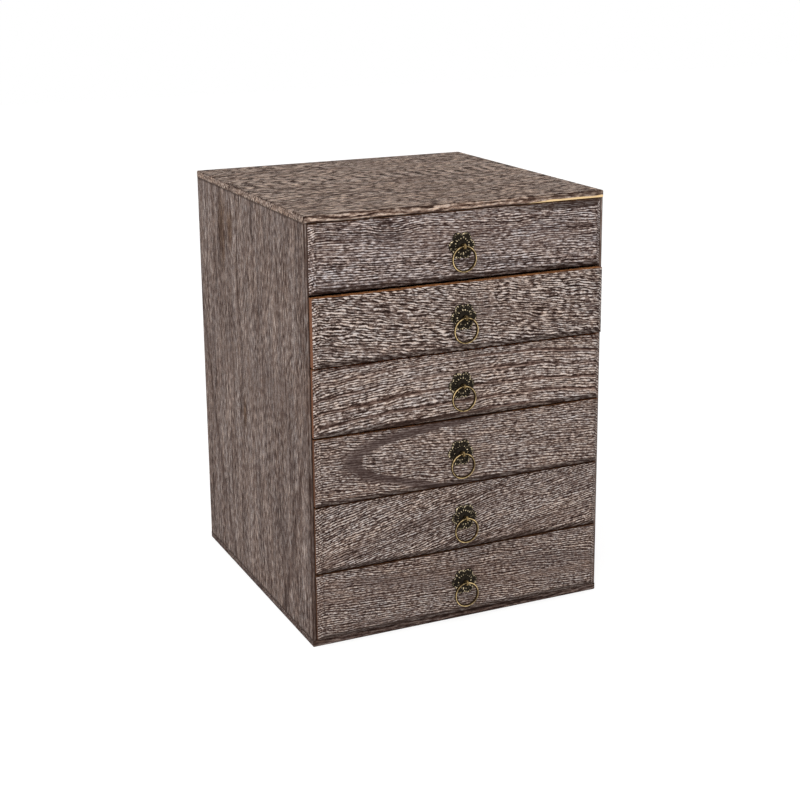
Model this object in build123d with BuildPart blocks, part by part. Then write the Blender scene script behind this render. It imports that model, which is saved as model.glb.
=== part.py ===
import os

from build123d import *

# Carcass
width = 250.0           # outside, left to right
depth = 250.0           # outside, front edges of the sides to the back face
height = 334.0          # outside, resting face to top face
board = 5.5             # thickness of the top, the bottom and the two sides
back_board = 4.0        # thickness of the back
back_lap = 2.7          # how far the back laps into the rebates round it
edge_ease = 0.6         # small chamfer on the outer arrises
front_lip = 2.7         # what is left of a side beside the ends of the drawer fronts

# Brads through the top and the bottom into the sides
brad_count = 3          # along each joint
brad_thick = 1.2        # square wire
brad_length = 16.0
brad_point = 0.4        # chamfer round the point
brad_setback = 35.0     # first and last brad from the front and back edges
brad_fit = 0.05         # room round a brad in its hole

# Drawer fronts, numbered from the top
ajar = (0.5, 5.5, 3.4, 3.4, 2.2, 2.0)   # how far each drawer stands out from fully home
front_board = 10.0      # thickness of a front
front_proud = 3.5       # face of a closed front beyond the front edges of the carcass
front_gap = 1.8         # between one front and the next
front_play = 0.3        # between the end of a front and the lip of a side
stop_play = 0.2         # behind a closed front, before the rebate stops it
bevel_width = 4.5       # bevel round the face, measured across the face
bevel_depth = 3.5       # bevel measured into the edge

# Drawer boxes
wall = 8.0              # thickness of drawer sides and back
box_lift = 3.0          # drawer sides above the lower edge of the front
box_headroom = 5.0      # drawer sides below the upper edge of the front
slide_play = 1.0        # between a drawer side and the side of the carcass
rear_play = 3.0         # between a closed drawer and the back of the carcass
housing = 4.0           # how deep the drawer sides are let into the front
bottom_board = 3.5      # thickness of a drawer bottom
bottom_lift = 4.0       # drawer bottom above the lower edge of the drawer sides
bottom_tongue = 3.5     # how far the bottom runs into its grooves
bottom_fit = 0.1        # room above and round the bottom in its grooves

# Runners that carry the drawers
runner_width = 5.5      # out from the side of the carcass
runner_height = 6.0
runner_setback = 4.0    # runner ends from the rebate and from the back
runner_play = 0.3       # round a runner in the groove of a drawer side

# Ring pulls
pull_lift = 0.5         # pull above the middle of the front
pull_shift = (-0.4, -1.3, -2.0, -2.8, 0.9, 1.2)   # each pull to the right of the middle, as set by hand
petal_count = 6
petal_radius = 4.6
petal_circle = 6.4      # circle of the petal centres
petal_sheet = 1.0       # thickness of the petals
boss_foot = 4.2         # radius of the raised middle where it leaves the petals
boss_height = 1.0       # raised middle above the petals
boss_ease = 0.8         # sloping rim of the raised middle
boss_facets = 16
bead_circle = 7.2       # circle of the beads, one on each petal
bead_foot = 1.9         # radius of a bead where it leaves its petal
bead_height = 0.6
bead_ease = 0.5         # sloping rim of a bead
bead_facets = 6
pin_hole = 2.6          # hole in the rosette and in the front
pin_width = 1.6         # width of the brass strip that the pin is folded from
pin_sheet = 0.7         # thickness of that strip
pin_slit = 0.2          # between the two legs
pin_prong = 8.0         # length of each leg bent over behind the front
eye_standoff = 4.5      # middle of the eye in front of the face
ring_outer = 21.0       # outside diameter of the ring
ring_wire = 2.0         # thickness of the ring
ring_play = 0.4         # round the ring in the eye
ring_facets = 28        # flats round the ring

drawer_count = len(ajar)
pitch = (height - 2 * board) / drawer_count
front_width = width - 2 * (front_lip + front_play)
front_height = pitch - front_gap
rebate_width = board - front_lip
rebate_depth = front_board - front_proud + stop_play
inside_width = width - 2 * board
back_width = inside_width + 2 * back_lap
back_height = height - 2 * board + 2 * back_lap
back_face = depth / 2 - back_board
box_width = inside_width - 2 * slide_play
box_height = front_height - box_lift - box_headroom
closed_face = -depth / 2 - front_proud
box_rear = back_face - rear_play - closed_face
side_front = front_board - housing
bottom_width = box_width - 2 * wall + 2 * bottom_tongue
bottom_top = bottom_lift + bottom_board
runner_middle = box_lift + box_height / 2
runner_depth = runner_width - slide_play
rear_lap = (wall - runner_depth - runner_play) / 2
runner_front = -depth / 2 + rebate_depth + runner_setback
runner_back = back_face - runner_setback
brad_span = (depth - 2 * brad_setback) / (brad_count - 1)
brad_spread = width - board
brad_hole = brad_thick + 2 * brad_fit
brad_reach = brad_length - board
eye_inner = ring_wire / 2 + ring_play
eye_outer = eye_inner + pin_sheet
ring_radius = (ring_outer - ring_wire) / 2
wire_chamfer = ring_wire * (1 - 0.5 ** 0.5)

os.makedirs("parts", exist_ok=True)


def keep(piece, name):
    """Label a finished piece and write it under its own name."""
    piece.label = name
    export_step(piece, f"parts/{name}.step")


def brad_rows(level, thick):
    """Squares for one row of brads, or of their holes, over each side of the carcass."""
    with BuildSketch(Plane.XY.offset(level)) as rows:
        with GridLocations(brad_spread, brad_span, 2, brad_count):
            Rectangle(thick, thick)
    return rows.sketch


def lid_board(name, level, rebate_level, outer_level):
    """Top or bottom: a full-size board with a rebate for the back inside its rear edge."""
    with BuildPart() as lid:
        with BuildSketch(Plane.XY.offset(level)):
            Rectangle(width, depth)
        extrude(amount=board)
        with BuildSketch(Plane.XY.offset(rebate_level)):
            with Locations((0, back_face + back_board / 2)):
                Rectangle(back_width, back_board)
        extrude(amount=back_lap, mode=Mode.SUBTRACT)
        outer = lid.faces().filter_by_position(Axis.Z, outer_level, outer_level)
        chamfer(outer.edges(), edge_ease)
        extrude(brad_rows(level, brad_hole), amount=board, mode=Mode.SUBTRACT)
    keep(lid.part, name)


def side_board(name, hand):
    """Side of the carcass, rebated inside its front edge for the fronts and behind for the back."""
    with BuildPart() as side:
        with BuildSketch(Plane.XY.offset(board)):
            with Locations((hand * (width - board) / 2, 0)):
                Rectangle(board, depth)
            with Locations((hand * (inside_width + rebate_width) / 2, (rebate_depth - depth) / 2)):
                Rectangle(rebate_width, rebate_depth, mode=Mode.SUBTRACT)
            with Locations((hand * (inside_width + back_lap) / 2, back_face + back_board / 2)):
                Rectangle(back_lap, back_board, mode=Mode.SUBTRACT)
        extrude(amount=height - 2 * board)
        arrises = side.edges().filter_by(Axis.Z).filter_by_position(
            Axis.X, hand * width / 2, hand * width / 2
        )
        chamfer(arrises, edge_ease)
        extrude(brad_rows(board, brad_hole), amount=brad_reach, mode=Mode.SUBTRACT)
        extrude(brad_rows(height - board, brad_hole), amount=-brad_reach, mode=Mode.SUBTRACT)
    keep(side.part, name)


def corner_brads(name):
    """Square brads with blunt points, driven down through the top and up through the bottom."""
    with BuildPart() as brads:
        extrude(brad_rows(0.0, brad_thick), amount=brad_length)
        extrude(brad_rows(height, brad_thick), amount=-brad_length)
        tips = brads.faces().filter_by(Axis.Z).group_by(Axis.Z)[1:-1]
        chamfer([edge for group in tips for edge in group.edges()], brad_point)
    keep(brads.part, name)


def runner_pair(name, seat):
    """Two hardwood battens, one on each side of the carcass, that one drawer slides on."""
    with BuildPart() as runners:
        with BuildSketch(seat.offset(runner_middle - runner_height / 2)):
            for hand in (-1, 1):
                with Locations((hand * (inside_width - runner_width) / 2, (runner_front + runner_back) / 2)):
                    Rectangle(runner_width, runner_back - runner_front)
        extrude(amount=runner_height)
    keep(runners.part, name)


def drawer_front(name, seat, pull):
    """Bevelled front board, housed behind for the drawer sides and grooved for the bottom."""
    with BuildPart() as front:
        with BuildSketch(seat):
            with Locations((0, front_board / 2)):
                Rectangle(front_width, front_board)
        extrude(amount=front_height)
        face = front.faces().sort_by(Axis.Y)[0]
        chamfer(face.edges(), length=bevel_width, length2=bevel_depth, reference=face)
        with BuildSketch(seat.offset(box_lift)):
            with Locations((0, front_board - housing / 2)):
                with GridLocations(box_width - wall, 0, 2, 1):
                    Rectangle(wall, housing)
        extrude(amount=box_height, mode=Mode.SUBTRACT)
        with BuildSketch(seat.offset(box_lift + bottom_lift)):
            with Locations((0, front_board - (bottom_tongue + bottom_fit) / 2)):
                Rectangle(box_width - wall, bottom_tongue + bottom_fit)
        extrude(amount=bottom_board + bottom_fit, mode=Mode.SUBTRACT)
        with BuildSketch(pull):
            Circle(pin_hole / 2)
        extrude(amount=-front_board, mode=Mode.SUBTRACT)
    keep(front.part, name)


def drawer_side(name, seat, hand):
    """Drawer side with the runner groove outside, the bottom groove and rear rebate inside."""
    outer = hand * box_width / 2
    inner = outer - hand * wall
    with BuildPart() as side:
        with BuildSketch(seat.offset(box_lift)):
            with Locations((outer - hand * wall / 2, (side_front + box_rear) / 2)):
                Rectangle(wall, box_rear - side_front)
        extrude(amount=box_height)
        with BuildSketch(seat.offset(runner_middle - runner_height / 2 - runner_play)):
            with Locations((outer - hand * (runner_depth + runner_play) / 2, (front_board + box_rear) / 2)):
                Rectangle(runner_depth + runner_play, box_rear - front_board)
        extrude(amount=runner_height + 2 * runner_play, mode=Mode.SUBTRACT)
        with BuildSketch(seat.offset(box_lift + bottom_lift)):
            with Locations((inner + hand * (bottom_tongue + bottom_fit) / 2, (side_front + box_rear) / 2)):
                Rectangle(bottom_tongue + bottom_fit, box_rear - side_front)
        extrude(amount=bottom_board + bottom_fit, mode=Mode.SUBTRACT)
        with BuildSketch(seat.offset(box_lift + bottom_top)):
            with Locations((inner + hand * rear_lap / 2, box_rear - wall / 2)):
                Rectangle(rear_lap, wall)
        extrude(amount=box_height - bottom_top, mode=Mode.SUBTRACT)
    keep(side.part, name)


def drawer_back(name, seat):
    """Back of a drawer, lapped between the sides and standing on the bottom."""
    with BuildPart() as back:
        with BuildSketch(seat.offset(box_lift + bottom_top)):
            with Locations((0, box_rear - wall / 2)):
                Rectangle(box_width - 2 * wall + 2 * rear_lap, wall)
        extrude(amount=box_height - bottom_top)
    keep(back.part, name)


def drawer_bottom(name, seat):
    """Thin bottom that slides in from behind, in the grooves of the sides and the front."""
    front_edge = front_board - bottom_tongue
    with BuildPart() as bottom:
        with BuildSketch(seat.offset(box_lift + bottom_lift)):
            with Locations((0, (front_edge + box_rear) / 2)):
                Rectangle(bottom_width, box_rear - front_edge)
        extrude(amount=bottom_board)
    keep(bottom.part, name)


def pull_rosette(name, pull):
    """Blossom-shaped plate with a bead on each petal and a raised middle that the pin goes through."""
    plate_face = pull.offset(petal_sheet)
    with BuildPart() as rosette:
        with BuildSketch(pull):
            with PolarLocations(petal_circle, petal_count):
                Circle(petal_radius)
            Circle(petal_circle)
        extrude(amount=petal_sheet)
        with BuildSketch(plate_face):
            with PolarLocations(bead_circle, petal_count):
                RegularPolygon(bead_foot, bead_facets)
        extrude(amount=bead_height)
        chamfer(rosette.faces().group_by(Axis.Y)[0].edges(), bead_ease)
        with BuildSketch(plate_face):
            RegularPolygon(boss_foot, boss_facets)
        extrude(amount=boss_height)
        chamfer(rosette.faces().group_by(Axis.Y)[0].edges(), boss_ease)
        with BuildSketch(pull):
            Circle(pin_hole / 2)
        extrude(amount=petal_sheet + boss_height, mode=Mode.SUBTRACT)
    keep(rosette.part, name)


def pull_pin(name, pull):
    """Split pin folded from brass strip: an eye in front, two legs through, bent over behind."""
    across = Plane(pull.origin, x_dir=pull.z_dir, z_dir=-pull.x_dir)
    back = -front_board - pin_sheet
    with BuildPart() as pin:
        with BuildSketch(across):
            with Locations((eye_standoff, 0)):
                Circle(eye_outer)
            with Locations(((eye_standoff + back) / 2, 0)):
                Rectangle(eye_standoff - back, 2 * pin_sheet + pin_slit)
            with Locations((back + pin_sheet / 2, 0)):
                Rectangle(pin_sheet, 2 * pin_prong + pin_slit)
            with Locations((eye_standoff, 0)):
                Circle(eye_inner, mode=Mode.SUBTRACT)
            with Locations(((eye_standoff + back) / 2, 0)):
                Rectangle(eye_standoff - back, pin_slit, mode=Mode.SUBTRACT)
        extrude(amount=pin_width / 2, both=True)
    keep(pin.part, name)


def pull_ring(name, pull):
    """Loose ring of wire that hangs in the eye of its pin."""
    front = pull.offset(eye_standoff - ring_wire / 2)
    with BuildPart() as ring:
        with BuildSketch(front):
            with Locations((0, -ring_radius)):
                RegularPolygon(ring_outer / 2, ring_facets)
                RegularPolygon(ring_outer / 2 - ring_wire, ring_facets, mode=Mode.SUBTRACT)
        extrude(amount=ring_wire)
        chamfer(ring.edges().filter_by(Axis.Y, reverse=True), wire_chamfer)
    keep(ring.part, name)


lid_board("top_panel", height - board, height - board, height)
lid_board("bottom_panel", 0.0, board - back_lap, 0.0)
side_board("left_side", -1)
side_board("right_side", 1)
corner_brads("corner_brads")

with BuildPart() as back_panel:
    with BuildSketch(Plane.XY.offset(board - back_lap)):
        with Locations((0, back_face + back_board / 2)):
            Rectangle(back_width, back_board)
    extrude(amount=back_height)
keep(back_panel.part, "back_panel")

for number, (out, shift) in enumerate(zip(ajar, pull_shift), start=1):
    base = height - board - number * pitch + front_gap / 2
    seat = Plane((0, closed_face - out, base))
    middle = base + front_height / 2 + pull_lift
    pull = Plane((shift, closed_face - out, middle), x_dir=(1, 0, 0), z_dir=(0, -1, 0))
    runner_pair(f"runners_{number}", Plane((0, 0, base)))
    drawer_front(f"drawer_front_{number}", seat, pull)
    drawer_side(f"drawer_left_side_{number}", seat, -1)
    drawer_side(f"drawer_right_side_{number}", seat, 1)
    drawer_back(f"drawer_back_{number}", seat)
    drawer_bottom(f"drawer_bottom_{number}", seat)
    pull_rosette(f"pull_rosette_{number}", pull)
    pull_pin(f"pull_pin_{number}", pull)
    pull_ring(f"pull_ring_{number}", pull)
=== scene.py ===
"""Looks of a six-drawer wooden tea box: scorched boards, ring pulls and a white studio around the frame."""

import logging
import math
from dataclasses import dataclass, field
from enum import Enum
from typing import Callable, Dict, List, Mapping, Optional, Sequence, Tuple, Union

import bmesh
import bpy
from mathutils import Matrix, Vector


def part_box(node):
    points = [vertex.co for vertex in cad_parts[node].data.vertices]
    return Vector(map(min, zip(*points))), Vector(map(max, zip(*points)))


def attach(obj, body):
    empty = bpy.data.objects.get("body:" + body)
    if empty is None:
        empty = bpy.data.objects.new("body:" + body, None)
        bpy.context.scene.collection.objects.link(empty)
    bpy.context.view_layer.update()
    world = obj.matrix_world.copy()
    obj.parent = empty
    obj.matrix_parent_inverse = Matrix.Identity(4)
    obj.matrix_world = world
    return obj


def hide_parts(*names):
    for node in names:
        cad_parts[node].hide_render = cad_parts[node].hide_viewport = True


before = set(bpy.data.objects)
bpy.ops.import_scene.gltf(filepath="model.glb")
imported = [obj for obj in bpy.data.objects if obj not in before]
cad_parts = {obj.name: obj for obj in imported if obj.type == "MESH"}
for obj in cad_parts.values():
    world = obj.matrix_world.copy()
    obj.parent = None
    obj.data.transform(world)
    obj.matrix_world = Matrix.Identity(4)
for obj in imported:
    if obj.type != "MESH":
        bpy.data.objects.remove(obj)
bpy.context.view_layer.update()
MM = 0.001
LOG = logging.getLogger("tea_box")

Colour = Tuple[float, float, float]
Pair = Tuple[float, float]
Triple = Tuple[float, float, float]
Patch = Tuple[float, float, float, float]


def paint(red: int, green: int, blue: int) -> Colour:
    """Linear colour of a screen colour from 0 to 255.

    Args:
        red: red on the screen.
        green: green on the screen.
        blue: blue on the screen.

    Returns:
        The same colour in the renderer's linear values.
    """
    shares = (red / 255, green / 255, blue / 255)
    return tuple(s / 12.92 if s <= 0.04045 else ((s + 0.055) / 1.055) ** 2.4 for s in shares)


class Axis(Enum):
    """Directions of the shared frame."""

    X = 0
    Y = 1
    Z = 2


class Layer(Enum):
    """Noises of a board, each read at a place of its own."""

    SWAY = 0.1
    CURL = 0.2
    RIDGE = 0.3
    PORE = 0.33
    DRIFT = 0.35
    STRAND = 0.4
    FLECK = 0.45
    THREAD = 0.5
    MOTTLE = 0.6
    TONGUE = 0.65
    HUE = 0.7
    SLOW_HUE = 0.72
    ONSET = 0.75
    RIPPLE = 0.8
    STREAK = 0.9
    BARE = 0.95
    STAIN = 0.97


class Edge(Enum):
    """Widths of the softened edges of the pieces, in metres."""

    FRONT = 0.5 * MM
    OUTER = 0.45 * MM
    BOX = 0.4 * MM
    RUNNER = 0.3 * MM
    THIN = 0.2 * MM
    PIN = 0.12 * MM
    BRAD = 0.1 * MM


class Signal:
    """A shader socket that Python arithmetic turns into Math nodes."""

    def __init__(self, graph: "Graph", socket: Optional[bpy.types.NodeSocket]) -> None:
        """Wrap one output socket of the graph."""
        self.graph = graph
        self.socket = socket

    def _math(self, operation: str, *operands: "Operand") -> "Signal":
        """Add one Math node on the operands, in their order."""
        return self.graph.node("ShaderNodeMath", {"operation": operation}, dict(enumerate(operands)))

    def __add__(self, other: "Operand") -> "Signal":
        """Sum."""
        return self._math("ADD", self, other)

    def __radd__(self, other: "Operand") -> "Signal":
        """Reflected sum."""
        return self._math("ADD", other, self)

    def __sub__(self, other: "Operand") -> "Signal":
        """Difference."""
        return self._math("SUBTRACT", self, other)

    def __rsub__(self, other: "Operand") -> "Signal":
        """Reflected difference, so that 1 - mask works."""
        return self._math("SUBTRACT", other, self)

    def __mul__(self, other: "Operand") -> "Signal":
        """Product."""
        return self._math("MULTIPLY", self, other)

    def __rmul__(self, other: "Operand") -> "Signal":
        """Reflected product."""
        return self._math("MULTIPLY", other, self)

    def __truediv__(self, other: "Operand") -> "Signal":
        """Quotient."""
        return self._math("DIVIDE", self, other)

    def __rtruediv__(self, other: "Operand") -> "Signal":
        """Reflected quotient."""
        return self._math("DIVIDE", other, self)

    def __abs__(self) -> "Signal":
        """Absolute value."""
        return self._math("ABSOLUTE", self)

    def fract(self) -> "Signal":
        """Fraction above the whole number below."""
        return self._math("FRACT", self)

    def sine(self) -> "Signal":
        """Sine of an angle in radians."""
        return self._math("SINE", self)

    def root(self) -> "Signal":
        """Square root."""
        return self._math("SQRT", self)

    def least(self, other: "Operand") -> "Signal":
        """Smaller of the two."""
        return self._math("MINIMUM", self, other)

    def most(self, other: "Operand") -> "Signal":
        """Larger of the two."""
        return self._math("MAXIMUM", self, other)

    def step(self, start: float, end: float) -> "Signal":
        """Smooth climb.

        Args:
            start: where it is 0.
            end: where it reaches 1, which may lie below the start.

        Returns:
            The climb, from 0 to 1.
        """
        low, high = sorted((start, end))
        rising = float(start <= end)
        sockets = {0: self, 1: low, 2: high, 3: 1 - rising, 4: rising}
        return self.graph.node("ShaderNodeMapRange", {"interpolation_type": "SMOOTHSTEP"}, sockets)


Operand = Union[Signal, float]


class Graph:
    """A node tree that is written as expressions."""

    STRIDES = (13.7, 7.1, 3.3)

    def __init__(self, tree: bpy.types.NodeTree) -> None:
        """Start with an empty tree."""
        self.tree = tree
        self.tree.nodes.clear()

    def node(
        self,
        kind: str,
        settings: Optional[Mapping[str, object]] = None,
        sockets: Optional[Mapping[Union[str, int], object]] = None,
        output: Union[str, int] = 0,
    ) -> Signal:
        """Add a node.

        Args:
            kind: type name of the node.
            settings: attributes, which are set first, with "stops" for the stops of a colour ramp.
            sockets: values or signals for its inputs, by name or number.
            output: the output that is handed back.

        Returns:
            The chosen output.
        """
        made = self.tree.nodes.new(kind)
        for name, value in (settings or {}).items():
            if name == "stops":
                self._fill_ramp(made.color_ramp, value)
            else:
                setattr(made, name, value)
        for key, value in (sockets or {}).items():
            if isinstance(value, Signal):
                self.tree.links.new(value.socket, made.inputs[key])
            else:
                made.inputs[key].default_value = value
        return Signal(self, made.outputs[output] if made.outputs else None)

    @staticmethod
    def _fill_ramp(ramp: bpy.types.ColorRamp, stops: Sequence[Tuple[float, Colour]]) -> None:
        """Give a ramp its stops.

        Args:
            ramp: the ramp of a new node.
            stops: places and colours, in rising order.
        """
        while len(ramp.elements) < len(stops):
            ramp.elements.new(1.0)
        for element, (place, colour) in zip(ramp.elements, stops):
            element.position = place
            element.color = (*colour, 1.0)

    def split(self, vector: Signal) -> List[Signal]:
        """The three components of a vector."""
        first = self.node("ShaderNodeSeparateXYZ", None, {0: vector})
        return [Signal(self, outlet) for outlet in first.socket.node.outputs]

    def join(self, x: Operand, y: Operand, z: Operand) -> Signal:
        """A vector of three components."""
        return self.node("ShaderNodeCombineXYZ", None, {0: x, 1: y, 2: z})

    def vector(self, operation: str, first: object, second: object) -> Signal:
        """Vector Math on two vectors."""
        return self.node("ShaderNodeVectorMath", {"operation": operation}, {0: first, 1: second})

    def mix(self, first: object, second: object, share: Operand, blend: str = "MIX") -> Signal:
        """Mix two colours.

        Args:
            first: colour where the share is 0.
            second: colour where the share is 1.
            share: how much of the second.
            blend: name of the blend.

        Returns:
            The mixed colour.
        """
        colours = [(*c, 1.0) if isinstance(c, tuple) else c for c in (first, second)]
        settings = {"data_type": "RGBA", "blend_type": blend}
        return self.node("ShaderNodeMix", settings, {0: share, 6: colours[0], 7: colours[1]}, output=2)

    def ramp(self, value: Signal, stops: Sequence[Tuple[float, Colour]]) -> Signal:
        """Colour of a value on a ramp of stops."""
        return self.node("ShaderNodeValToRGB", {"stops": stops}, {0: value})

    def noise(self, point: Signal, cell: Triple, seed: float, detail: float = 2.0) -> Signal:
        """Noise whose cells have the given size.

        Args:
            point: where it is read.
            cell: size of a cell along the point's three components.
            seed: place in the noise, different for each use.
            detail: octaves above the first.

        Returns:
            A value round 0.5.
        """
        scaled = self.vector("DIVIDE", point, cell)
        moved = self.vector("ADD", scaled, tuple(seed * stride for stride in self.STRIDES))
        return self.node("ShaderNodeTexNoise", None, {"Vector": moved, "Scale": 1.0, "Detail": detail})

    def bump(self, height: Signal, depth: float, strength: float) -> Signal:
        """Normal of a relief of that depth, in metres."""
        return self.node("ShaderNodeBump", None, {"Strength": strength, "Distance": depth, "Height": height})

    def surface(self, sockets: Mapping[str, object]) -> None:
        """End the tree in a Principled shader with these sockets."""
        shader = self.node("ShaderNodeBsdfPrincipled", None, sockets)
        self.node("ShaderNodeOutputMaterial", None, {"Surface": shader})


def new_graph(name: str) -> Tuple[bpy.types.Material, Graph]:
    """Start a material.

    Args:
        name: name of the material.

    Returns:
        The material and its empty graph.
    """
    material = bpy.data.materials.new(name)
    material.use_nodes = True
    return material, Graph(material.node_tree)


@dataclass(frozen=True)
class Board:
    """Box of one board at rest.

    Attributes:
        low: lowest corner, in metres.
        high: highest corner, in metres.
    """

    low: Vector
    high: Vector

    @classmethod
    def of(cls, node: str) -> "Board":
        """Box of a node of the frame."""
        return cls(*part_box(node))

    @property
    def middle(self) -> Vector:
        """Middle of the box, in metres."""
        return (self.low + self.high) / 2

    @property
    def half(self) -> Vector:
        """Half of each side, in millimetres."""
        return (self.high - self.low) / (2 * MM)


@dataclass(frozen=True)
class Figure:
    """How the rings and fibres of one board lie, in millimetres from the middle of the board.

    Attributes:
        fibres: direction of the fibres.
        across: direction across the fibres in the face.
        through: direction through the board.
        seed: place in the noises.
        pith: heart of the tree, across and through the board.
        ring_pitch: from one growth ring to the next.
        late: part of a ring over which the late wood sets in.
        line: part of a ring over which the dark line at its start fades.
        rise: fall of the lines across the face for each millimetre along it.
        bow: fall of the lines at 100 mm to either side of the middle.
        dive: climb of the heart through the board for each millimetre along it.
        sway: how far the lines wander.
        sway_length: over what length they wander.
        ripple: how far the fibres curl.
        ripple_length: over what length they curl.
        row: from one row of pores to the next.
        dash: length and width of the open pores.
        porosity: contrast of the pores.
        thread: length and width of the long threads.
        threads: contrast of the long threads.
        streaks: darkness of the long streaks.
        banding: darkness of the line that starts the late wood.
        quiet: how far the late wood is free of pores.
        blush: how far the late wood takes on its own tint.
        swirl: place along and across the board, reach and lift of a small knot, or none.
        arch: tip along the board, middle across it and opening of one tongue-shaped ring, or none.
    """

    fibres: Axis
    across: Axis
    through: Axis
    seed: float
    pith: Pair = (40.0, 160.0)
    ring_pitch: float = 9.0
    late: Pair = (0.5, 0.6)
    line: Pair = (0.75, 0.6)
    rise: float = 0.0
    bow: float = 0.0
    dive: float = 0.0
    sway: float = 4.0
    sway_length: float = 110.0
    ripple: float = 1.0
    ripple_length: float = 16.0
    row: float = 2.1
    dash: Pair = (6.5, 1.4)
    porosity: float = 1.0
    thread: Pair = (70.0, 2.2)
    threads: float = 0.3
    streaks: float = 0.1
    banding: float = 0.05
    quiet: float = 0.3
    blush: float = 0.0
    swirl: Optional[Patch] = None
    arch: Optional[Triple] = None


class Timber:
    """Rings, fibres and faces of one board, as signals of its graph."""

    # How regular the rows of pores are, how far strands fray them, how many rows they drift and how far
    # they shift through the board.
    EVENNESS = 0.12
    RAGGED = 0.4
    DRIFT = 2.4
    SLANT = 0.7
    # Noise over which a limed ridge and an open pore set in, and what each adds to the tone.
    RIDGE = (-0.07, 0.23)
    PORE = (-0.09, 0.21)
    RIDGE_TONE = 0.6
    PORE_TONE = 0.53
    STRAND_TONE = 0.4
    # How ragged the band round a tongue is, and the places where it sets in and fades, in millimetres.
    TONGUE_FRAY = 6
    TONGUE_START = (-1.5, 1.5)
    TONGUE_END = (17.0, 7.0)

    def __init__(self, graph: Graph, board: Board, figure: Figure) -> None:
        """Lay the board's own axes and growth rings into the graph.

        Args:
            graph: the material's graph.
            board: the board's box.
            figure: how it was sawn.
        """
        self.graph = graph
        self.figure = figure
        self.half = board.half
        place = graph.node("ShaderNodeTexCoord", output="Object")
        centred = graph.vector("SUBTRACT", place, tuple(board.middle))
        self.place = graph.split(graph.vector("MULTIPLY", centred, (1 / MM, 1 / MM, 1 / MM)))
        self.facing = graph.split(graph.node("ShaderNodeTexCoord", output="Normal"))
        self.along, self.over, self.inward = (
            self.place[axis.value] for axis in (figure.fibres, figure.across, figure.through)
        )
        self.lie = graph.join(self.along, self.over, self.inward)
        self._bend()

    def _bend(self) -> None:
        """Let the fibres wander and curl, and cut the growth rings."""
        f = self.figure
        wander = self.patches((f.sway_length, 0.45 * f.sway_length, 60.0), Layer.SWAY, 1.0)
        curl = self.patches((f.ripple_length, 0.6 * f.ripple_length, 14.0), Layer.CURL, 1.0)
        moved = (wander - 0.5) * (2 * f.sway) + (curl - 0.5) * (2 * f.ripple)
        over = self.over + moved + self.along * (f.rise + self.along * (f.bow / 100 ** 2))
        if f.swirl:
            over = over + self.knot() * f.swirl[3]
        inward = self.inward + self.along * f.dive
        self.bent = self.graph.join(self.along, over, inward)
        self.level = over + inward * self.SLANT
        self.late, self.line = self._arch(over) if f.arch else self._rings(over, inward)

    def _rings(self, over: Signal, inward: Signal) -> Tuple[Signal, Signal]:
        """Growth rings round the figure's pith.

        Args:
            over: place across the wandering fibres.
            inward: place through the board.

        Returns:
            1 in the late wood, and 1 on the dark line at its start.
        """
        f = self.figure
        side, behind = over - f.pith[0], inward - f.pith[1]
        ring = ((side * side + behind * behind).root() / f.ring_pitch).fract()
        broken = self.fibre(55.0, 8.0, Layer.ONSET).step(0.36, 0.56)
        onset = ring.step(*f.late) * (0.3 + broken * 0.7)
        return onset * ring.step(1.0, 0.93), onset * ring.step(*f.line)

    def _arch(self, over: Signal) -> Tuple[Signal, Signal]:
        """Band of late wood round the figure's tongue.

        Args:
            over: place across the wandering fibres.

        Returns:
            1 in the band and 0 inside the tongue and far outside it, for the late wood and its line alike.
        """
        tip, middle, opening = self.figure.arch
        side = over - middle
        slope = side * (2 * opening)
        outside = (tip - self.along + side * side * opening) / (slope * slope + 1).root().root()
        ragged = outside + (self.fibre(9.0, 3.0, Layer.TONGUE) - 0.5) * self.TONGUE_FRAY
        band = ragged.step(*self.TONGUE_START) * ragged.step(*self.TONGUE_END)
        return band, band

    def knot(self) -> Signal:
        """Small knot of the figure.

        Returns:
            1 in its middle, fading to 0 at its reach.
        """
        along, over, reach, _ = self.figure.swirl
        side, up = (self.along - along) * 0.7, self.over - over
        return (side * side + up * up).root().step(reach, 0.0)

    def patches(self, cell: Triple, layer: Layer, detail: float = 2.0) -> Signal:
        """Noise that doesn't follow the bent fibres."""
        return self.graph.noise(self.lie, cell, self.figure.seed + layer.value, detail)

    def fibre(self, length: float, width: float, layer: Layer, detail: float = 1.0) -> Signal:
        """Noise drawn out along the fibres."""
        return self.graph.noise(self.bent, (length, width, width), self.figure.seed + layer.value, detail)

    def brushed(self) -> Signal:
        """Short dashes in wavy rows, split into fine strands.

        Returns:
            Limed ridges, from 0 up, and dark pores, from 0 down.
        """
        length, width = self.figure.dash
        drift = self.fibre(26.0, 9.0, Layer.DRIFT) - 0.5
        wave = ((self.level / self.figure.row + drift * self.DRIFT) * (2 * math.pi)).sine()
        strands = self.fibre(9.0, 0.42, Layer.STRAND, 2.0) - 0.5
        rows = wave * self.EVENNESS + strands * self.RAGGED
        ridge = (self.fibre(length, width, Layer.RIDGE) - 0.5 + rows).step(*self.RIDGE)
        pore = (self.fibre(1.15 * length, width, Layer.PORE) - 0.5 - rows).step(*self.PORE)
        flecks = self.fibre(1.2, 0.8, Layer.FLECK) - 0.5
        return ridge * self.RIDGE_TONE - pore * self.PORE_TONE + strands * self.STRAND_TONE + flecks

    def arris(self) -> Signal:
        """Distance to the nearest edge of the board, in millimetres."""
        x, y, z = (half - abs(place) for half, place in zip(self.half, self.place))
        return x.most(y).least(y.most(z)).least(x.most(z))

    def arris_line(self, bevel: float) -> Signal:
        """Distance in the face to the ends of its flat, in millimetres, behind a bevel of that width."""
        end = self.half[self.figure.fibres.value] - bevel
        return abs(abs(self.along) - end)


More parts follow.
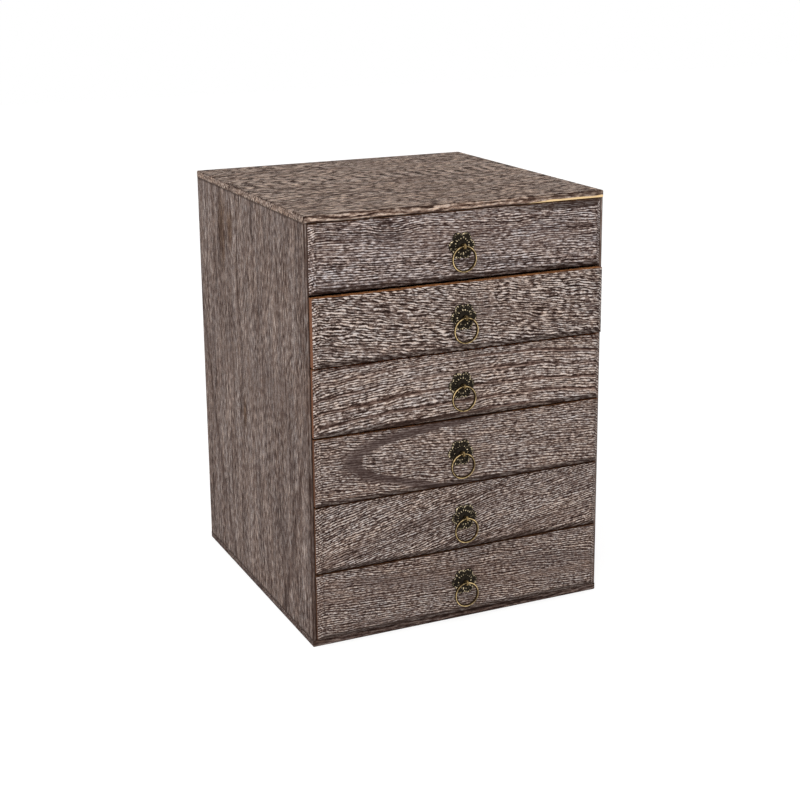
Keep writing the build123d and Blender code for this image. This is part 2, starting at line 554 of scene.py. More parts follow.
@dataclass(frozen=True)
class Curl:
    """Band of short ripples across the fibres, in millimetres from the middle of the board.

    Attributes:
        place: middle of the band, across the fibres.
        reach: half of its width.
        pitch: from one ripple to the next.
        depth: contrast of the ripples.
    """

    place: float
    reach: float
    pitch: float
    depth: float

    def tone(self, wood: Timber) -> Signal:
        """Light and dark of the ripples.

        Args:
            wood: the board.

        Returns:
            What the ripples add to its tone.
        """
        drift = wood.patches((30.0, 30.0, 30.0), Layer.RIPPLE) - 0.5
        beside = abs(wood.over - self.place + drift * (2 * self.reach))
        wave = (wood.along * (2 * math.pi / self.pitch) + drift * 12 + wood.over * 0.06).sine()
        return wave * beside.step(self.reach, 0.3 * self.reach) * self.depth


@dataclass(frozen=True)
class ScorchedWood:
    """Scorched, wire-brushed and limewashed wood: pale ridges, dark open pores and darkened edges.

    Attributes:
        figure: how the board was sawn.
        tone: how light the board is, from 0 to 1.
        worn: how far from its edges the board is darkened, in millimetres.
        bevel: width of the bevel round the face, in millimetres, or 0 for a plain board.
        curl: band of ripples, or none.
        bare: where along the board its lower front arris starts to be rubbed bare, or none.
        lift: how much lighter its narrow faces are.
        cast: tint of the whole board.
        seam: way through the board to the fronts that close on its front edge, -1 or 1, or 0 for none;
            painted shade darkens that edge on this side, where the fronts meet it.
        shade: how dark the painted shadow on the right-hand end of its upper bevel is.
        charred: how dark its ends and its flat edges are, which are raw wood at 0.
        late_tint: tint of the late wood, as far as the figure blushes.
        stains: brown patches: place along and across the board, half the length and half the width.
    """

    figure: Figure
    tone: float = 0.5
    worn: float = 0.7
    bevel: float = 0.0
    curl: Optional[Curl] = None
    bare: Optional[float] = None
    lift: float = 0.0
    cast: Colour = (1.0, 1.0, 1.0)
    seam: float = 0.0
    shade: float = 0.0
    charred: float = 0.0
    late_tint: Colour = (1.2, 0.97, 0.85)
    stains: Tuple[Patch, ...] = ()

    STOPS = (
        (0.00, paint(38, 24, 19)),
        (0.25, paint(77, 60, 54)),
        (0.50, paint(117, 101, 94)),
        (0.75, paint(159, 144, 136)),
        (1.00, paint(216, 203, 195)),
    )
    RAW = paint(196, 134, 84)
    RAW_DARK = paint(94, 58, 38)
    RAW_END = paint(134, 92, 70)
    RAW_PALE = paint(246, 212, 160)
    # Dark brown of the charred edges, also used as painted shade on the seam and the bevels.
    SOOT_AND_SHADE = paint(48, 33, 27)
    # Tints of the grain, by which its colour is multiplied.
    WARM = (1.085, 0.99, 0.905)
    COOL = (0.945, 1.0, 1.06)
    STAIN = (0.56, 0.42, 0.3)
    # What slow patches, a knot and the smoother narrow faces do to the tone.
    MOTTLE = 0.16
    KNOT_DARK = 0.2
    NARROW_SMOOTH = 0.55
    # Noise over which cool fibres turn warm, and turn of a face over which it counts as level or as an end.
    HUE = (0.36, 0.64)
    FLAT = (0.8, 0.95)
    # Shares of soot on the edges and the bare arris, and of painted shade on the seam and the lower bevel.
    EDGE_SOOT = 0.65
    SEAM_SHADE = 0.8
    ARRIS_SOOT = 0.6
    LOWER_BEVEL_SHADE = 0.6

    def material(self, name: str, board: Board) -> bpy.types.Material:
        """Make the finish of one board.

        Args:
            name: name of the material.
            board: the board's box.

        Returns:
            The material.
        """
        material, graph = new_graph(name)
        wood = Timber(graph, board, self.figure)
        figure = self.figure
        threads = wood.fibre(*figure.thread, Layer.THREAD, 2.0) - 0.5
        mottle = wood.patches((45.0, 16.0, 16.0), Layer.MOTTLE) - 0.5
        streaks = wood.fibre(85.0, 2.8, Layer.STREAK).step(0.56, 0.68)
        brushed = wood.brushed() * (1 - wood.late * figure.quiet)
        tone = self.tone + brushed * figure.porosity + threads * figure.threads + mottle * self.MOTTLE
        tone = tone - wood.line * figure.banding - streaks * figure.streaks
        if figure.swirl:
            tone = tone - wood.knot() * self.KNOT_DARK
        if self.curl:
            tone = tone + self.curl.tone(wood)
        if self.lift:
            narrow = 1 - abs(wood.facing[figure.through.value])
            tone = tone + (self.lift - brushed * (self.NARROW_SMOOTH * figure.porosity)) * narrow
        colour = graph.mix(graph.ramp(tone, self.STOPS), self._tint(wood), 1.0, "MULTIPLY")
        graph.surface({
            "Base Color": self._wear_and_shade(wood, colour, tone, mottle),
            "Roughness": 0.86 - tone * 0.12,
            "Specular IOR Level": 0.12,
            "Normal": graph.bump(tone, 0.3 * MM, 0.5),
        })
        return material

    def _tint(self, wood: Timber) -> Signal:
        """Cool and warm fibres, the late wood's own tint and the brown patches.

        Args:
            wood: the board.

        Returns:
            The tint of its grain.
        """
        graph = wood.graph
        tints = (self.COOL, self.WARM)
        cool, warm = (tuple(a * b for a, b in zip(tint, self.cast)) for tint in tints)
        slow = wood.fibre(60.0, 12.0, Layer.SLOW_HUE).step(*self.HUE)
        quick = wood.fibre(5.0, 1.3, Layer.HUE).step(*self.HUE)
        tint = graph.mix(cool, warm, slow * 0.3 + quick * 0.5 + 0.1)
        if self.figure.blush:
            tint = graph.mix(tint, self.late_tint, wood.late * self.figure.blush)
        for along, over, length, width in self.stains:
            out, side = (wood.along - along) / length, (wood.over - over) / width
            ragged = (out * out + side * side).root() + (wood.fibre(16.0, 3.0, Layer.STAIN) - 0.5) * 1.3
            tint = graph.mix(tint, self.STAIN, ragged.step(1.0, 0.3) * 0.9)
        return tint

    def _soot_and_shade(self, colour: Signal, share: Operand) -> Signal:
        """Darken a colour with that share of soot or of painted shade."""
        return colour.graph.mix(colour, self.SOOT_AND_SHADE, share)

    def _wear_and_shade(self, wood: Timber, colour: Signal, tone: Signal, mottle: Signal) -> Signal:
        """Darken the edges, paint shade on the seam and the bevels, and rub some of them down to raw wood.

        Args:
            wood: the board.
            colour: colour before the wear.
            tone: light and dark of the grain.
            mottle: slow patches round 0.

        Returns:
            The colour after it.
        """
        graph = wood.graph
        edge = (wood.arris() + mottle * (1.5 * self.worn)).step(1.4 * self.worn, 0.3 * self.worn)
        colour = self._soot_and_shade(colour, edge * self.EDGE_SOOT)
        up = wood.facing[self.figure.across.value]
        front = up.step(-0.6, -0.9)
        if self.seam:
            # painted shade on the front edge beside the closed drawer fronts
            colour = self._soot_and_shade(colour, front * (wood.inward * self.seam).step(-1.2, -0.6) * self.SEAM_SHADE)
        if self.bare is not None:
            stretch = (wood.along + mottle * 30).step(self.bare, self.bare + 40)
            ragged = wood.inward + (wood.fibre(14.0, 3.0, Layer.BARE) - 0.5) * 2 + (1 - stretch) * 1.6
            colour = self._soot_and_shade(colour, front * wood.inward.step(-1.2, 0.0) * stretch * self.ARRIS_SOOT)
            rubbed = front * ragged.step(-0.9, -1.5) * stretch.step(0.0, 0.3)
            colour = graph.mix(colour, self.RAW_PALE, rubbed)
        if self.shade:
            # painted shadow on the right-hand end of the upper bevel
            colour = self._soot_and_shade(colour, up.step(0.3, 0.5) * wood.along.step(10.0, 90.0) * self.shade)
        if self.bevel:
            # painted shade along the inner arris of the left and right bevels, darker on the dark grain
            inner = wood.arris_line(self.bevel).step(1.1, 0.2)
            colour = self._soot_and_shade(colour, inner * (0.75 - tone.step(0.2, 0.7) * 0.5))
            # painted shade on the lower bevel, which faces down
            colour = self._soot_and_shade(colour, up.step(-0.3, -0.5) * self.LOWER_BEVEL_SHADE)
            end = abs(wood.facing[self.figure.fibres.value]).step(*self.FLAT)
            raw = graph.mix(self.RAW_DARK, self.RAW, tone.step(0.2, 0.8))
            raw = self._soot_and_shade(graph.mix(raw, self.RAW_END, end * 0.95), self.charred)
            colour = graph.mix(colour, raw, abs(up).step(*self.FLAT).most(end))
        return colour


@dataclass(frozen=True)
class PlainWood:
    """Planed, unfinished wood of the drawer boxes and runners.

    Attributes:
        figure: how the board was sawn.
        pale: colour of the early wood.
        dark: colour of the late wood.
    """

    figure: Figure
    pale: Colour = paint(206, 178, 144)
    dark: Colour = paint(168, 132, 96)

    def material(self, name: str, board: Board) -> bpy.types.Material:
        """Make the finish of one board.

        Args:
            name: name of the material.
            board: the board's box.

        Returns:
            The material.
        """
        material, graph = new_graph(name)
        wood = Timber(graph, board, self.figure)
        pores = wood.fibre(12.0, 0.7, Layer.RIDGE)
        threads = wood.fibre(90.0, 1.6, Layer.THREAD)
        tone = wood.late * 0.5 + (threads - 0.5) * 1.1 + (0.5 - pores) * 0.9 + 0.25
        graph.surface({
            "Base Color": graph.mix(self.pale, self.dark, tone.step(-0.1, 1.1)),
            "Roughness": 0.7 + tone * 0.1,
            "Specular IOR Level": 0.3,
            "Normal": graph.bump(pores, 0.12 * MM, 0.5),
        })
        return material


THIN_BOARD = (paint(212, 184, 148), paint(184, 150, 112))
BATTEN = (paint(176, 140, 104), paint(136, 98, 66))


@dataclass(frozen=True)
class AgedMetal:
    """Dark patina over brass that shines through where it is rubbed and where glints are painted on it.

    Attributes:
        patina: colour of the dark skin.
        bright: colour of the rubbed metal and of the painted glints.
        rubbed: share of rubbed metal where nothing stands out.
        gloss: roughness of the rubbed metal.
        speckle: how far the rubbed places are broken up into specks.
    """

    patina: Colour
    bright: Colour
    rubbed: float
    gloss: float
    speckle: float = 0.0

    # Vertex attribute of the plates and rings: rubbed wear and painted highlights.
    RUB_AND_GLINT = "relief"
    DULL = 0.62

    def material(self, name: str) -> bpy.types.Material:
        """Make the finish.

        Args:
            name: name of the material.

        Returns:
            The material.
        """
        material, graph = new_graph(name)
        place = graph.node("ShaderNodeTexCoord", output="Object")
        point = graph.vector("MULTIPLY", place, (1 / MM, 1 / MM, 1 / MM))
        blotch = graph.noise(point, (2.2, 2.2, 2.2), 1.3, 3.0)
        grit = graph.noise(point, (0.35, 0.35, 0.35), 2.3, 2.0)
        specks = graph.noise(point, (1.3, 1.3, 1.3), 3.3, 1.0).step(0.62, 0.42) * self.speckle
        relief = graph.node("ShaderNodeAttribute", {"attribute_name": self.RUB_AND_GLINT}, output="Fac")
        # rubbed wear and painted glints from the vertex attribute, with specks and blotches
        rubbed = relief * (1 - specks) + self.rubbed + (blotch - 0.5) * 0.9 + (grit - 0.5) * 0.4
        share = rubbed.step(0.15, 0.95)
        graph.surface({
            "Base Color": graph.mix(self.patina, self.bright, share),
            "Metallic": 1.0,
            "Roughness": self.DULL - share * (self.DULL - self.gloss),
            "Normal": graph.bump(grit, 0.03 * MM, 0.4),
        })
        return material


SOFT_STEPS = 2
SOFT_ANGLE = math.radians(25)


def dress(node: str, material: bpy.types.Material, edge: Edge) -> None:
    """Give a node of the frame its finish and soften its edges.

    Args:
        node: name of the node.
        material: its finish.
        edge: how far its edges are softened.
    """
    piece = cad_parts[node]
    for material_slot in piece.material_slots:
        material_slot.material = material
    soften = piece.modifiers.new("soft_edges", "BEVEL")
    soften.width = edge.value
    soften.segments = SOFT_STEPS
    soften.limit_method = "ANGLE"
    soften.angle_limit = SOFT_ANGLE
    LOG.info("%s: %s", node, material.name)


def dress_board(node: str, name: str, wood: Union[ScorchedWood, PlainWood], edge: Edge) -> None:
    """Give a board of the frame a wood of its own, under that name."""
    dress(node, wood.material(name, Board.of(node)), edge)


def mesh_piece(name: str, build: Callable[[bmesh.types.BMesh], None]) -> bpy.types.Object:
    """Make a smooth-shaded mesh object.

    Args:
        name: name of the piece.
        build: fills the mesh.

    Returns:
        The object, linked to the scene.
    """
    mesh = bpy.data.meshes.new(name)
    shell = bmesh.new()
    build(shell)
    bmesh.ops.recalc_face_normals(shell, faces=shell.faces)
    for face in shell.faces:
        face.smooth = True
    shell.to_mesh(mesh)
    shell.free()
    piece = bpy.data.objects.new(name, mesh)
    bpy.context.scene.collection.objects.link(piece)
    return piece


def bell(distance: float, width: float) -> float:
    """Round hump that is 1 at no distance and fades over the width."""
    return math.exp(-((distance / width) ** 2))


def ease(value: float, start: float, end: float) -> float:
    """Smooth climb from 0 at start to 1 at end."""
    share = min(max((value - start) / (end - start), 0.0), 1.0)
    return share * share * (3 - 2 * share)


@dataclass(frozen=True)
class PullMetals:
    """Finishes of the pieces of a pull.

    Attributes:
        plate: finish of the blossom plate.
        ring: finish of the ring.
        pin: finish of the split pin.
    """

    plate: bpy.types.Material
    ring: bpy.types.Material
    pin: bpy.types.Material


@dataclass
class RingPull:
    """Pressed blossom plate, split pin and loose ring on one drawer front.

    Attributes:
        number: number of the drawer, from the top.
        petals: petals of the blossom.
        petal_share: radius of a petal against that of the plate.
        inner_beads: distance of the inner beads from the middle, as a share, and their number.
        outer_beads: the same of the beads along the edge.
        hole: radius of the hole for the pin, in metres.
        spokes: steps round the plate.
        steps: steps from the hole to the edge.
        turns: steps round the ring.
        sides: steps round its wire.
        split: opening where the ends of the ring meet, in metres.
        split_turn: where it is, in degrees from the top.
        plate_box: box of the plate.
        ring_box: box of the ring.
    """

    number: int
    petals: int = 6
    petal_share: float = 4.6 / 11.0
    inner_beads: Tuple[float, int] = (0.5, 18)
    outer_beads: Tuple[float, int] = (0.86, 36)
    hole: float = 1.6 * MM
    spokes: int = 216
    steps: int = 34
    turns: int = 120
    sides: int = 16
    split: float = 0.45 * MM
    split_turn: float = 11.0
    plate_box: Board = field(init=False)
    ring_box: Board = field(init=False)

    BEAD_WIDTH = 0.05

    def __post_init__(self) -> None:
        """Take the places of the plate and the ring from the frame."""
        self.plate_box = Board.of(f"pull_rosette_{self.number}")
        self.ring_box = Board.of(f"pull_ring_{self.number}")

    def build(self, metals: PullMetals) -> None:
        """Make the plate and the ring, and dress the pin.

        Args:
            metals: finishes of the three pieces.
        """
        plate = mesh_piece(f"blossom_plate_{self.number}", self._fill_plate)
        self._place(plate, metals.plate, "pull_rosette", "drawer")
        ring = mesh_piece(f"wire_ring_{self.number}", self._fill_ring)
        self._place(ring, metals.ring, "pull_ring", "ring")
        dress(f"pull_pin_{self.number}", metals.pin, Edge.PIN)

    def _place(
        self, piece: bpy.types.Object, finish: bpy.types.Material, node: str, body: str,
    ) -> None:
        """Hand a piece to the body that carries it, in place of its plain node.

        Args:
            piece: the piece.
            finish: its finish.
            node: name of the plain node, without its number.
            body: name of the body, without its number.
        """
        piece.data.materials.append(finish)
        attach(piece, f"{body}_{self.number}")
        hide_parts(f"{node}_{self.number}")
        LOG.info("%s: %s", piece.name, finish.name)

    def _outline(self, angle: float) -> Pair:
        """Edge of the plate in one direction.

        Args:
            angle: direction, in radians.

        Returns:
            Radius of the edge, and angle from the middle of the nearest petal.
        """
        sector = 2 * math.pi / self.petals
        off = (angle + sector / 2) % sector - sector / 2
        radius = self.plate_box.half.x * MM
        petal = radius * self.petal_share
        centre = radius - petal
        return centre * math.cos(off) + math.sqrt(petal ** 2 - (centre * math.sin(off)) ** 2), off

    def _emboss(self, radius: float, off: float, edge: float) -> Pair:
        """Pressed relief of the plate: a rimmed petal with a drop, two curls and a vein, beads and a boss.

        Args:
            radius: distance from the middle, in metres.
            off: angle from the middle of the petal, in radians.
            edge: radius of the plate's edge there, in metres.

        Returns:
            Height above the drawer front as a share of the plate's depth, and how much it is rubbed bright
            or painted with glints.
        """
        plate = self.plate_box.half.x * MM
        petal = plate * self.petal_share
        out = (radius * math.cos(off) - (plate - petal)) / petal
        side = radius * math.sin(off) / petal
        crown = 1 - min(math.hypot(out, side), 1.0)
        rim = bell((edge - radius) / petal - 0.14, 0.09)
        drop = bell(math.hypot((out - 0.12) / 1.3, side), 0.3)
        curls = bell(math.hypot(out + 0.05, abs(side) - 0.5), 0.16)
        vein = bell(side, 0.07) * ease(out, -0.9, -0.6) * (1 - ease(out, -0.2, 0.0))
        gap = radius * math.sin(math.pi / self.petals - abs(off)) / petal
        groove = bell(gap, 0.09) * ease(radius / plate, 0.42, 0.6)
        boss = 1 - ease(radius / plate, 0.2, 0.42)
        inner = self._beads(radius / plate, off, *self.inner_beads)
        outer = self._beads(radius / edge, off, *self.outer_beads)
        leaf = (
            0.32 + 0.1 * crown + 0.14 * rim + 0.2 * drop
            + 0.16 * curls + 0.1 * vein - 0.2 * groove
        )
        height = leaf * (1 - boss) + (0.62 + 0.36 * boss) * boss + 0.2 * (inner + outer)
        height *= 1 - 0.65 * ease(radius / edge, 0.94, 1.0)
        # rubbed wear and painted glints on the rim, drop, curls and beads
        rubbed = 0.75 * rim + 0.3 * drop ** 2 + 0.6 * curls + inner + 0.85 * outer
        return min(height, 0.99), min(rubbed, 1.0)

    def _beads(self, share: float, off: float, place: float, count: int) -> float:
        """1 on the beads of a ring of them at that place, as a share, and 0 between them."""
        return bell(share - place, self.BEAD_WIDTH) * (0.5 + 0.5 * math.cos(count * off)) ** 1.5

    def _fill_plate(self, shell: bmesh.types.BMesh) -> None:
        """Fill the mesh of the blossom plate, closed behind.

        Args:
            shell: the empty mesh.
        """
        layer = shell.verts.layers.float.new(AgedMetal.RUB_AND_GLINT)
        middle, depth = self.plate_box.middle, 2 * self.plate_box.half.y * MM
        wall = self.plate_box.high.y
        rows: List[List[bmesh.types.BMVert]] = [[] for _ in range(self.steps + 3)]
        for spoke in range(self.spokes):
            angle = 2 * math.pi * spoke / self.spokes
            edge, off = self._outline(angle)
            radii = [self.hole + (edge - self.hole) * step / self.steps for step in range(self.steps + 1)]
            profile = [(radii[0], 0.0, 0.0)]
            profile += [(radius, *self._emboss(radius, off, edge)) for radius in radii]
            profile += [(radii[-1], 0.0, 0.0)]
            for row, (radius, height, rubbed) in zip(rows, profile):
                x = middle.x + radius * math.cos(angle)
                z = middle.z + radius * math.sin(angle)
                vert = shell.verts.new((x, wall - height * depth, z))
                vert[layer] = rubbed
                row.append(vert)
        self._skin(shell, rows + rows[:1])

    def _fill_ring(self, shell: bmesh.types.BMesh) -> None:
        """Fill the mesh of the wire ring, with its two butted ends and a bright crest along both faces,
        rubbed wear and a painted highlight.

        Args:
            shell: the empty mesh.
        """
        layer = shell.verts.layers.float.new(AgedMetal.RUB_AND_GLINT)
        middle, wire = self.ring_box.middle, self.ring_box.half.y * MM
        bend = self.ring_box.half.x * MM - wire
        start = math.pi / 2 + math.radians(self.split_turn)
        opening = self.split / bend
        rows: List[List[bmesh.types.BMVert]] = []
        for turn in range(self.turns + 1):
            angle = start + opening / 2 + (2 * math.pi - opening) * turn / self.turns
            thick = wire * (1 - 0.25 * (turn in (0, self.turns)))
            wear_and_glint = 0.87 + 0.13 * math.sin(2 * angle + self.number)
            row = []
            for side in range(self.sides):
                tilt = 2 * math.pi * side / self.sides
                reach = bend + thick * math.cos(tilt)
                place = (reach * math.cos(angle), thick * math.sin(tilt), reach * math.sin(angle))
                vert = shell.verts.new(middle + Vector(place))
                # narrow bright crest on both faces: rubbed wear and a painted highlight
                vert[layer] = wear_and_glint * math.sin(tilt - 0.25) ** 16
                row.append(vert)
            rows.append(row)
        self._skin(shell, rows)
        shell.faces.new(rows[0])
        shell.faces.new(rows[-1])

    @staticmethod
    def _skin(shell: bmesh.types.BMesh, rows: Sequence[Sequence[bmesh.types.BMVert]]) -> None:
        """Join closed rows of vertices with faces, each row to the next.

        Args:
            shell: the mesh that holds them.
            rows: the rows, of the same length.
        """
        for near, far in zip(rows, rows[1:]):
            for here in range(len(near)):
                there = (here + 1) % len(near)
                shell.faces.new((near[here], near[there], far[there], far[here]))


@dataclass
class Drawer:
    """One drawer: scorched front, plain box and ring pull.

    Attributes:
        number: number of the drawer, from the top.
        front: finish of its front.
        seed: place in the noises for the box.
    """

    number: int
    front: ScorchedWood
    seed: float

    def dress(self, metals: PullMetals) -> None:
        """Finish the drawer.

        Args:
            metals: finishes of the pull.
        """
        n = self.number
        dress_board(f"drawer_front_{n}", f"scorched_front_{n}", self.front, Edge.FRONT)
        for offset, side in enumerate(("left_side", "right_side", "back")):
            fibres, through = (Axis.X, Axis.Y) if side == "back" else (Axis.Y, Axis.X)
            plain = PlainWood(Figure(fibres, Axis.Z, through, self.seed + offset, ring_pitch=5.0, sway=3.0))
            dress_board(f"drawer_{side}_{n}", f"plain_{side}_{n}", plain, Edge.BOX)
        figure = Figure(
            Axis.X, Axis.Y, Axis.Z, self.seed + 3, pith=(30.0, 90.0), ring_pitch=5.0, dive=0.05, sway=12.0,
        )
        dress_board(f"drawer_bottom_{n}", f"thin_bottom_{n}", PlainWood(figure, *THIN_BOARD), Edge.THIN)
        RingPull(n).build(metals)


@dataclass
class Carcass:
    """The outer boards, their brads and the runners.

    Attributes:
        drawers: how many drawers it holds.
    """

    drawers: int

    @staticmethod
    def _boards() -> Dict[str, ScorchedWood]:
        """Finishes of the outer boards.

        Returns:
            The finish of each node.
        """
        x, y, z = Axis.X, Axis.Y, Axis.Z
        grain = {
            "dash": (6.0, 1.3), "porosity": 0.6, "thread": (200.0, 6.0), "threads": 0.65, "streaks": 0.18,
            "ring_pitch": 30.0, "late": (0.45, 0.5), "line": (0.66, 0.5), "banding": 0.12, "ripple": 0.6,
        }
        side = {"tone": 0.44, "worn": 1.2, "lift": 0.1}
        return {
            "top_panel": ScorchedWood(
                Figure(x, y, z, 21.0, row=2.6, dash=(6.0, 2.1), porosity=1.75, threads=0.8, ring_pitch=14.0),
                0.33, curl=Curl(23.0, 22.0, 13.0, 0.42), bare=52.0, lift=0.26, cast=(0.95, 0.87, 0.79),
            ),
            "bottom_panel": ScorchedWood(Figure(x, y, z, 22.0, **grain), 0.3),
            # seam paints shade on the front edges of the sides, beside the drawer fronts
            "left_side": ScorchedWood(
                Figure(z, y, x, 23.0, arch=(-211.0, -4.0, 0.0174), **grain), **side, seam=1.0,
                stains=((126.0, 63.0, 40.0, 11.0), (132.0, 42.0, 24.0, 9.0), (-20.0, 18.0, 20.0, 6.5)),
            ),
            "right_side": ScorchedWood(
                Figure(z, y, x, 24.0, pith=(-90.0, 120.0), dive=0.1, **grain), **side, seam=-1.0,
            ),
        }

    def dress(self) -> None:
        """Finish the carcass."""
        for node, finish in self._boards().items():
            dress_board(node, f"scorched_{node}", finish, Edge.OUTER)
        figure = Figure(
            Axis.Z, Axis.X, Axis.Y, 25.0, pith=(20.0, 90.0), ring_pitch=5.0, dive=0.08, sway=12.0,
        )
        dress_board("back_panel", "thin_back", PlainWood(figure, *THIN_BOARD), Edge.THIN)
        for number in range(1, self.drawers + 1):
            batten = PlainWood(Figure(Axis.Y, Axis.Z, Axis.X, 30.0 + number, ring_pitch=4.0), *BATTEN)
            dress_board(f"runners_{number}", f"plain_runners_{number}", batten, Edge.RUNNER)
        steel = AgedMetal(paint(40, 34, 30), paint(120, 112, 104), 0.2, 0.45)
        dress("corner_brads", steel.material("brad_steel"), Edge.BRAD)


@dataclass
class Studio:
    """White floor, soft light and the camera.

    Attributes:
        floor_size: side of the floor, in metres.
        floor_greys: darkest and lightest grey of the floor.
        glow: strength of the floor's own white, where it is seen.
        glow_share: share of that white.
        ambient: strength of the light from all round.
        key_power: power of the large soft lamp, in watts.
        key_place: where it stands, in metres.
        key_aim: what it points at, in metres.
        key_size: side of the lamp, in metres.
        sensor: width of the camera's sensor, in millimetres.
        focal: focal length, as a share of the sensor's width.
        shift: how far the picture is moved down, as a share of its side.
        camera_place: where the camera stands, in metres.
        camera_turn: degrees round the box from straight in front.
        camera_dip: degrees that the camera looks down.
        camera_roll: degrees that it leans.
    """

    floor_size: float = 8.0
    floor_greys: Pair = (0.9, 0.93)
    glow: float = 1.3
    glow_share: float = 0.6
    ambient: float = 0.72
    key_power: float = 30.0
    key_place: Triple = (-1.3, -1.7, 2.1)
    key_aim: Triple = (0.0, 0.0, 0.15)
    key_size: float = 1.6
    sensor: float = 36.0
    focal: float = 1550.0 / 800.0
    shift: float = -0.1
    camera_place: Triple = (-0.5156, -1.1439, 0.5275)
    camera_turn: float = -24.569
    camera_dip: float = 13.942
    camera_roll: float = -0.543

    WHITE = (1.0, 1.0, 1.0, 1.0)

    def build(self) -> None:
        """Set up the view, the light and the floor."""
        bpy.context.scene.view_settings.view_transform = "Standard"
        self._camera()
        self._world()
        self._key()
        self._floor()

    def _camera(self) -> None:
        """Stand the camera where the photograph was taken from."""
        turn, dip = math.radians(self.camera_turn), math.radians(self.camera_dip)
        back = Vector((math.sin(turn) * math.cos(dip), -math.cos(turn) * math.cos(dip), math.sin(dip)))
        right = Vector((math.cos(turn), math.sin(turn), 0.0))
        pose = Matrix((right, back.cross(right), back)).transposed()
        pose = pose @ Matrix.Rotation(math.radians(self.camera_roll), 3, "Z")
        lens = bpy.data.cameras.new("camera")
        lens.sensor_width = self.sensor
        lens.lens = self.focal * self.sensor
        lens.shift_y = self.shift
        camera = bpy.data.objects.new("camera", lens)
        camera.matrix_world = Matrix.Translation(self.camera_place) @ pose.to_4x4()
        bpy.context.scene.collection.objects.link(camera)
        bpy.context.scene.camera = camera

    @staticmethod
    def _seen(graph: Graph) -> Signal:
        """Tell what is seen from what only lights the box.

        Args:
            graph: graph of the material or the world.

        Returns:
            1 where it is seen directly, in a reflection or through glass.
        """
        direct, mirrored, through = (
            graph.node("ShaderNodeLightPath", output=f"Is {kind} Ray")
            for kind in ("Camera", "Glossy", "Transmission")
        )
        return direct.most(mirrored).most(through)

    def _world(self) -> None:
        """White surroundings, of full strength only where they are seen."""
        world = bpy.data.worlds.new("studio")
        world.use_nodes = True
        graph = Graph(world.node_tree)
        strength = self.ambient + self._seen(graph) * (1 - self.ambient)
        light = graph.node("ShaderNodeBackground", None, {"Color": self.WHITE, "Strength": strength})
        graph.node("ShaderNodeOutputWorld", None, {"Surface": light})
        bpy.context.scene.world = world

    def _key(self) -> None:
        """Large soft lamp above, in front and to the left."""
        lamp = bpy.data.lights.new("key", "AREA")
        lamp.energy = self.key_power
        lamp.size = self.key_size
        key = bpy.data.objects.new("key", lamp)
        key.location = self.key_place
        aim = Vector(self.key_aim) - Vector(self.key_place)
        key.rotation_euler = aim.to_track_quat("-Z", "Y").to_euler()
        bpy.context.scene.collection.objects.link(key)

    def _floor(self) -> None:
        """White floor that keeps a light shadow."""
        material, graph = new_graph("white_floor")
        grain = graph.noise(graph.node("ShaderNodeTexCoord", output="Object"), (0.02, 0.02, 0.02), 0.4)
        dark, light = ((grey, grey, grey) for grey in self.floor_greys)
        diffuse = graph.node("ShaderNodeBsdfDiffuse", None, {"Color": graph.mix(dark, light, grain)})
        glow = graph.node("ShaderNodeEmission", None, {"Color": self.WHITE, "Strength": self.glow})
        share = self._seen(graph) * self.glow_share
        shader = graph.node("ShaderNodeMixShader", None, {0: share, 1: diffuse, 2: glow})
        graph.node("ShaderNodeOutputMaterial", None, {"Surface": shader})
        half = self.floor_size / 2
        corners = ((-half, -half, 0.0), (half, -half, 0.0), (half, half, 0.0), (-half, half, 0.0))

        def lay(shell: bmesh.types.BMesh) -> None:
            """One square, level with the resting face."""
            shell.faces.new([shell.verts.new(corner) for corner in corners])

        floor = mesh_piece("floor", lay)
        floor.data.materials.append(material)


FRONT_BEVEL = 4.5


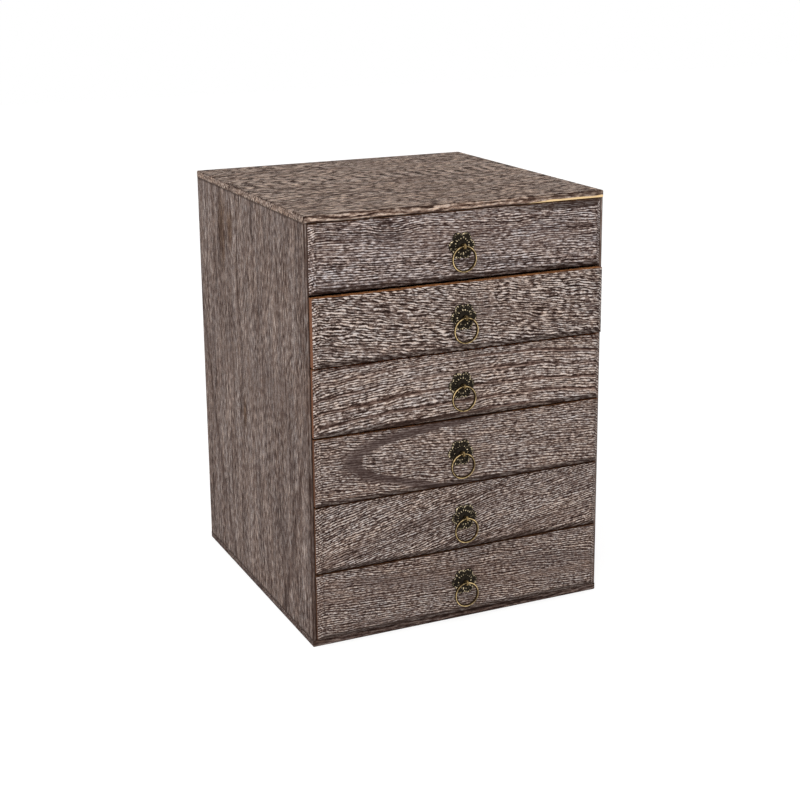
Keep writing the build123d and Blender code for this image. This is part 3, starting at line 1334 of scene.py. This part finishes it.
def front_finishes() -> List[ScorchedWood]:
    """Finishes of the six fronts.

    Returns:
        The finishes, from the top.
    """
    boards = [
        # the first front's shade is a painted shadow on the right of its upper bevel
        (dict(tone=0.51, charred=0.5, shade=0.8, cast=(0.95, 0.97, 1.02)), dict(
            rise=0.04, sway=3.0, ripple=0.7, row=1.85, dash=(4.2, 1.15), porosity=0.95, threads=0.2,
            streaks=0.25, swirl=(-58.0, 18.0, 16.0, 3.0),
        )),
        (dict(tone=0.46), dict(
            rise=0.13, sway=5.0, ripple=1.6, ripple_length=12.0, dash=(4.0, 1.6), porosity=1.2,
        )),
        (dict(tone=0.53, charred=0.1), dict(
            pith=(140.0, 150.0), ring_pitch=7.0, late=(0.7, 0.75), line=(0.9, 0.82), bow=5.0, sway=3.5,
            sway_length=80.0, row=2.0, dash=(3.2, 1.4), porosity=0.9, banding=0.42, quiet=0.5, blush=0.4,
        )),
        (dict(tone=0.47, charred=0.45, late_tint=(0.97, 1.03, 1.1)), dict(
            rise=0.07, sway=2.0, ripple=1.2, row=1.95, dash=(3.0, 1.0), porosity=0.78, threads=0.15,
            banding=0.2, quiet=0.7, blush=0.8, arch=(-86.0, -1.0, 0.14),
        )),
        (dict(tone=0.45, charred=0.5), dict(
            rise=-0.18, bow=3.0, ripple=0.7, row=1.85, dash=(2.5, 0.85), porosity=0.98, threads=0.2,
            streaks=0.2,
        )),
        (dict(tone=0.43, charred=0.6), dict(
            rise=0.06, ripple=0.7, row=1.85, dash=(2.8, 0.85), porosity=0.85, threads=0.2,
        )),
    ]
    return [
        ScorchedWood(Figure(Axis.X, Axis.Z, Axis.Y, float(seed), **grain), bevel=FRONT_BEVEL, **finish)
        for seed, (finish, grain) in enumerate(boards, start=1)
    ]


def main() -> None:
    """Build the studio and dress the box."""
    logging.basicConfig(level=logging.INFO, format="%(name)s: %(message)s")
    Studio().build()
    fronts = front_finishes()
    Carcass(len(fronts)).dress()
    # the bright colours stand for rubbed metal and for painted glints
    bronze = AgedMetal(paint(40, 35, 29), paint(248, 228, 188), -0.05, 0.42, speckle=0.65)
    brass = AgedMetal(paint(52, 40, 26), paint(244, 214, 156), -0.05, 0.35)
    pin_brass = AgedMetal(paint(70, 54, 34), paint(206, 178, 124), 0.45, 0.35)
    metals = PullMetals(
        plate=bronze.material("dark_bronze"),
        ring=brass.material("old_brass"),
        pin=pin_brass.material("pin_brass"),
    )
    for number, front in enumerate(fronts, start=1):
        Drawer(number, front, 40.0 + 5 * number).dress(metals)


if __name__ == "__main__":
    main()
